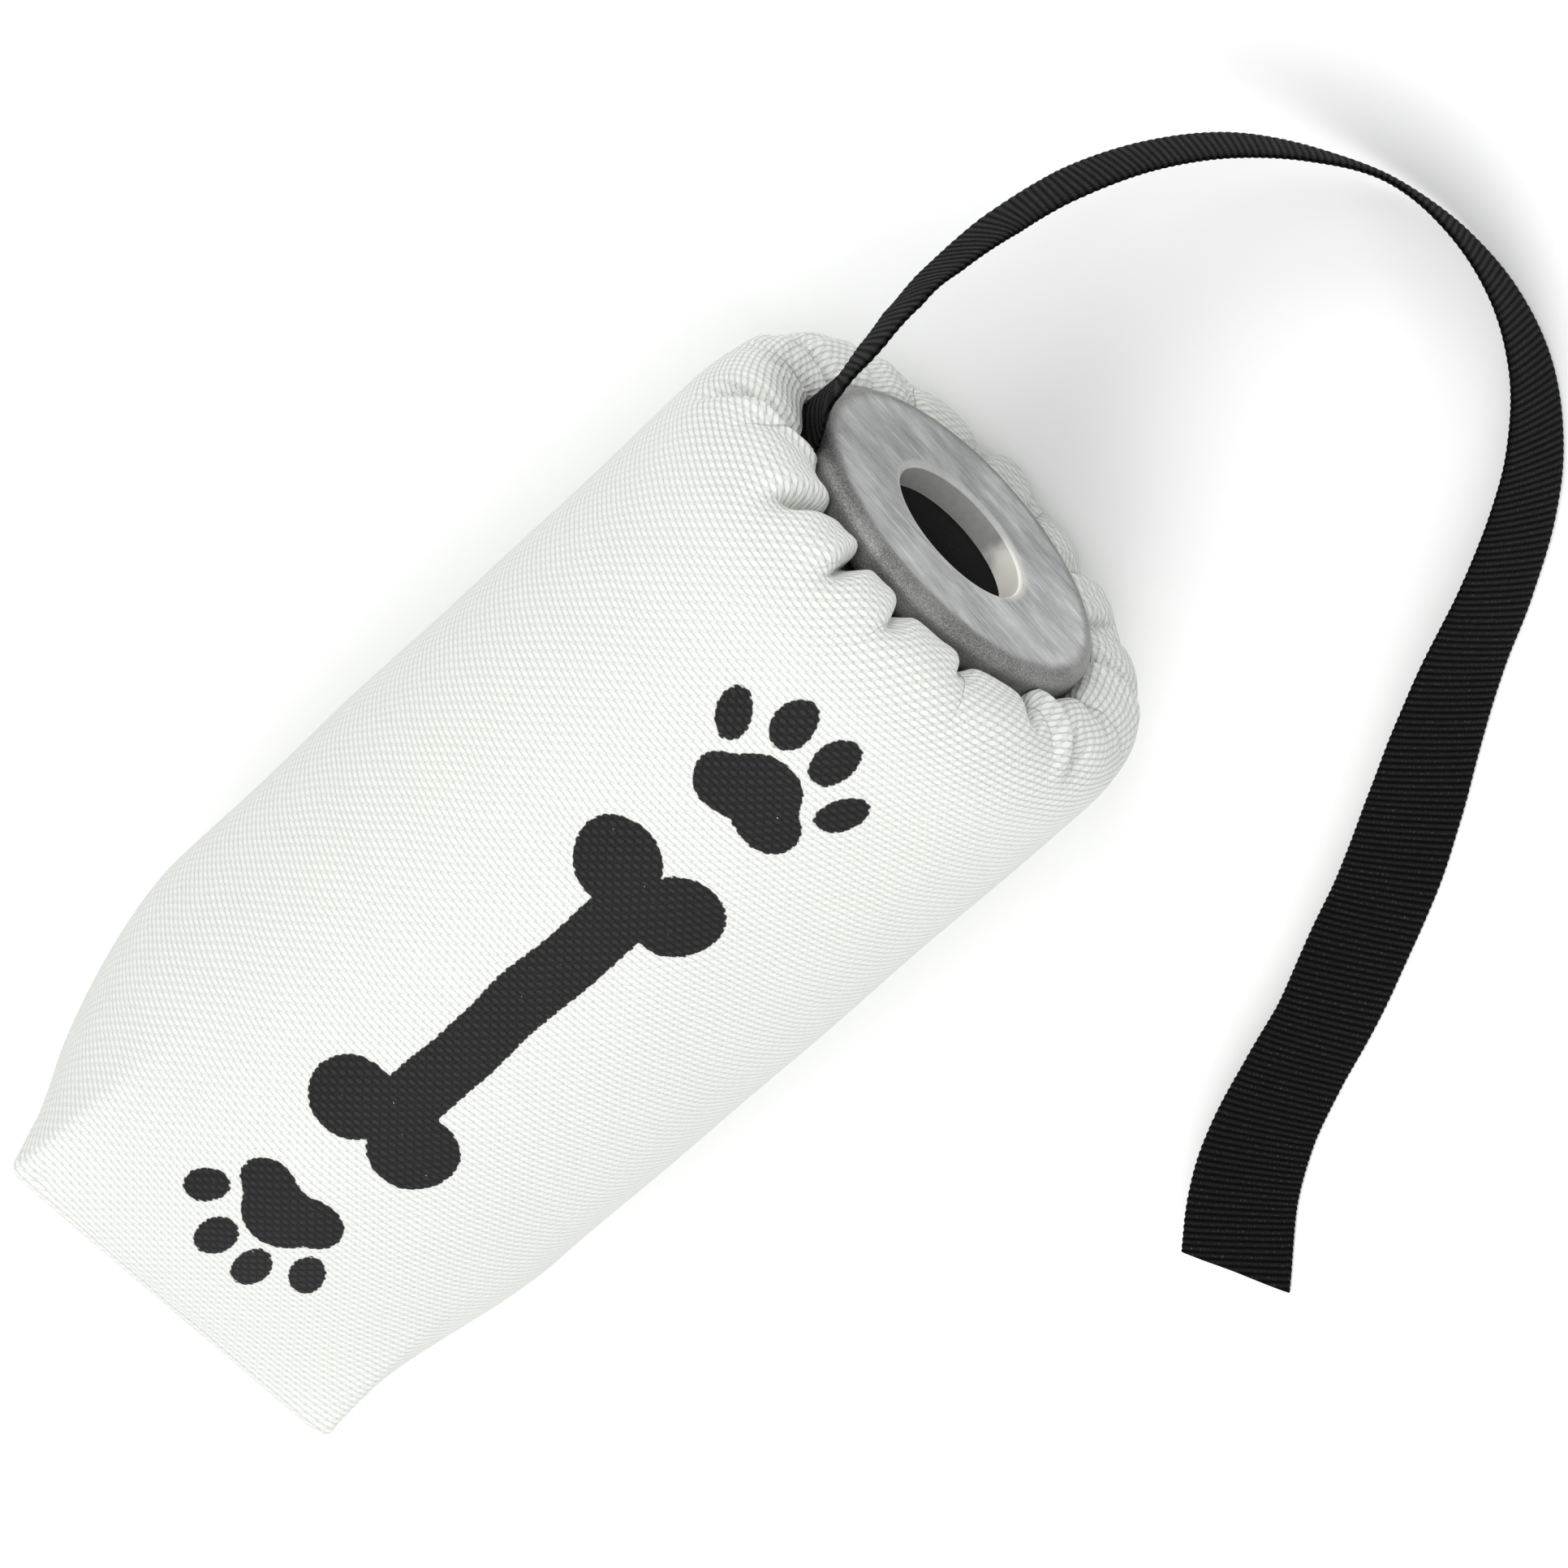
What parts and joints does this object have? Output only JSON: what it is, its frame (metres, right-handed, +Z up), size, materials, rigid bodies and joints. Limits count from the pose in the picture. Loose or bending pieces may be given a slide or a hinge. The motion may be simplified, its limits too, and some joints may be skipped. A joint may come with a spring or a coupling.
{
  "type": "training bumper",
  "caption": "Launcher-type retriever training bumper: padded cloth body with a boxed end, metal flange with a launch bore, and a black throw strap.",
  "frame": {"origin": "on the surface the bumper lies on, under the middle of its body (bottom centre of the box round the bumper without its strap)", "axes": "+X along the bumper's axis, out of the launch bore; +Z up; +Y to the side the strap leaves from"},
  "size_m": [0.2275, 0.1496, 0.077],
  "materials": {
    "cover_cloth": "woven polyester, matt",
    "cover_binding": "folded and stitched cloth",
    "firm_foam": "closed-cell foam",
    "soft_foam": "open-cell foam",
    "flange_metal": "cast, turned satin face",
    "black_tube": "black anodised",
    "plug_metal": "turned",
    "steel_hardware": "zinc plated",
    "cord": "braided cord",
    "strap_webbing": "grosgrain webbing"
  },
  "bodies": {
    "root": {"cover_shell": "cover_cloth", "cover_mouth_hem": "cover_binding", "cover_side_seam": "cover_binding", "cover_end_seam": "cover_binding", "cover_corner_seams": "cover_binding", "foam_sleeve": "firm_foam", "foam_wrap": "soft_foam", "foam_end_pad": "soft_foam", "launch_tube": "black_tube", "end_flange": "flange_metal", "hub_set_screws": "steel_hardware", "tube_plug": "plug_metal", "plug_pin": "steel_hardware", "end_washer": "steel_hardware", "end_bolt": "steel_hardware", "neck_washer": "steel_hardware", "clamp_band": "steel_hardware", "clamp_screw_housing": "steel_hardware", "clamp_screw": "steel_hardware", "drawcord": "cord", "strap_anchor": "strap_webbing"},
    "strap": {"throw_strap": "strap_webbing"}
  },
  "joints": [
    {"name": "strap_swing", "type": "hinge", "parent": "root", "child": "strap", "pos_m": [0.079, 0.025, 0.0475], "axis": [0, 0, 1], "range_deg": [-20, 35]}
  ]
}
